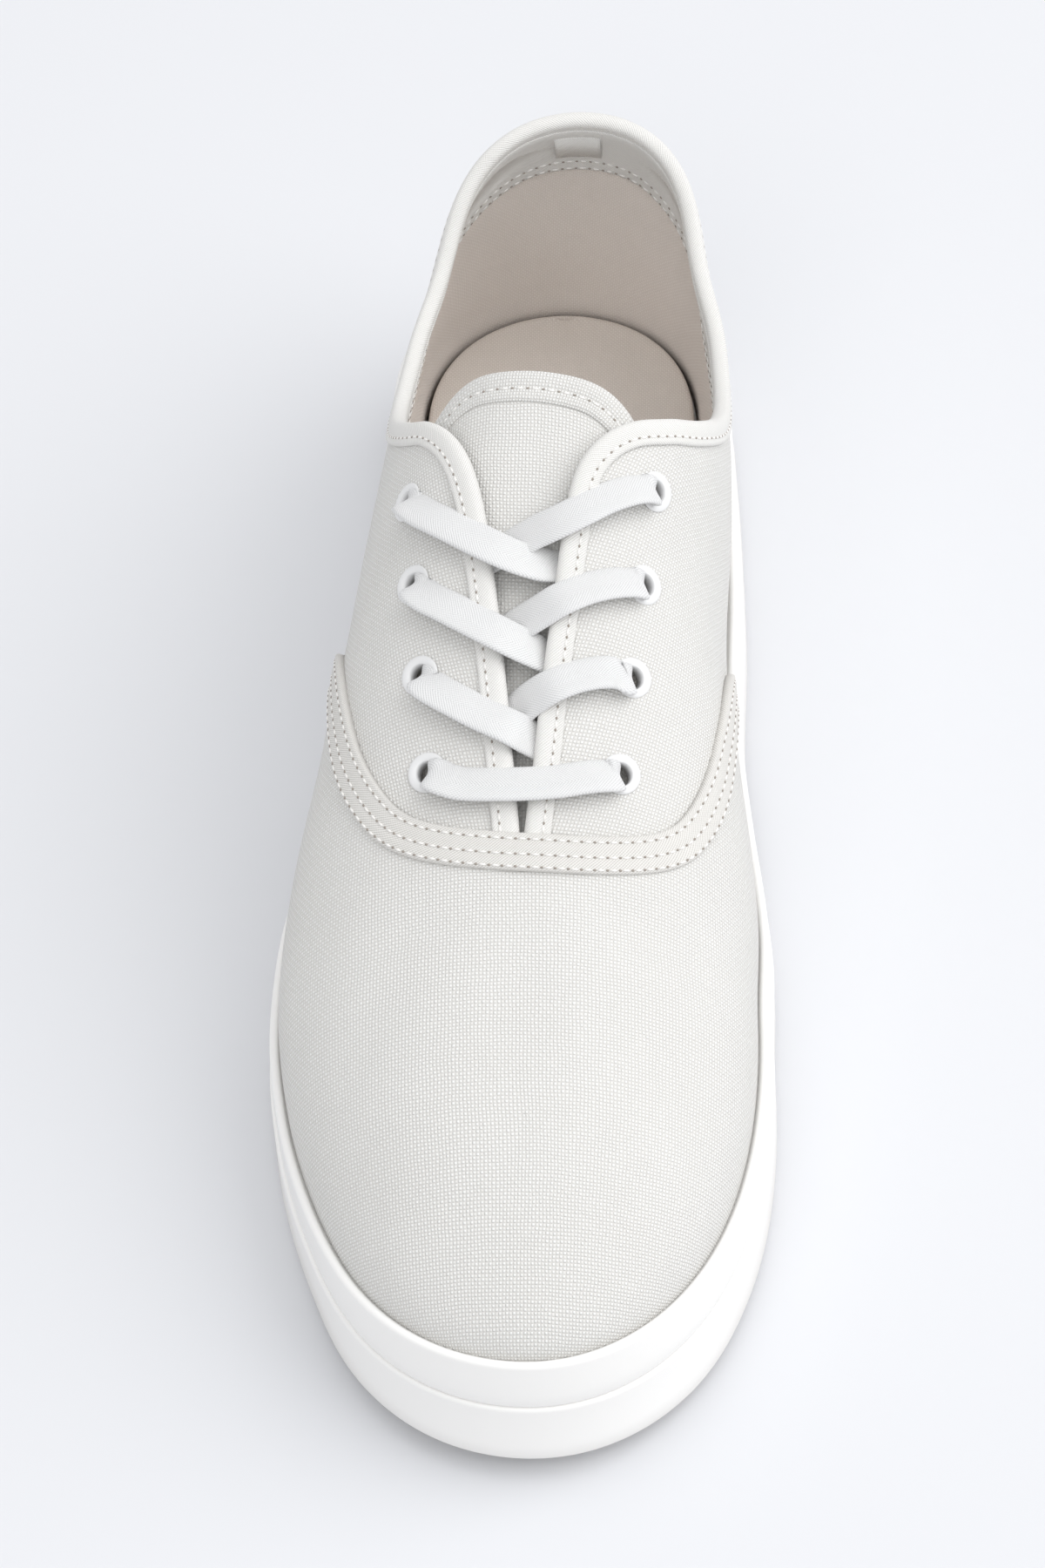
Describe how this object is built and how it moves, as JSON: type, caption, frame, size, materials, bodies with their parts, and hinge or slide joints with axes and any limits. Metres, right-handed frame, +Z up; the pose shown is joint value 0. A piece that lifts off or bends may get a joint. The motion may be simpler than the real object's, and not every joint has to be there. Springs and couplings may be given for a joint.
{
  "type": "canvas sneaker",
  "caption": "Low-cut canvas lace-up sneaker for the right foot, with a rubber sidewall and sole, a flat lace laced over an open collar, standing empty on its sole.",
  "frame": {"origin": "on the ground plane, under the middle of the shoe's box", "axes": "+Z up, toe towards -Y and heel towards +Y, inner side of the right foot towards +X"},
  "size_m": [0.1, 0.2866, 0.0967],
  "materials": {
    "canvas": "white cotton duck, plain weave",
    "cotton_tape": "white cotton twill tape with rows of stitches",
    "lace_cotton": "flat braided white cotton",
    "insole_cloth": "warm grey cotton cloth over foam",
    "rubber_sole": "white vulcanised rubber, satin",
    "enamelled_metal": "white enamel, semi-gloss"
  },
  "bodies": {
    "root": {"outsole": "rubber_sole", "foxing": "rubber_sole", "insole": "insole_cloth", "upper": "canvas", "vamp_tape": "cotton_tape", "binding": "cotton_tape", "tongue": "canvas", "eyelet_outer_1": "enamelled_metal", "eyelet_inner_1": "enamelled_metal", "eyelet_outer_2": "enamelled_metal", "eyelet_inner_2": "enamelled_metal", "eyelet_outer_3": "enamelled_metal", "eyelet_inner_3": "enamelled_metal", "eyelet_outer_4": "enamelled_metal", "eyelet_inner_4": "enamelled_metal", "lace_bar": "lace_cotton", "lace_crossing_1": "lace_cotton", "lace_crossing_2": "lace_cotton", "lace_crossing_3": "lace_cotton"}
  },
  "joints": []
}
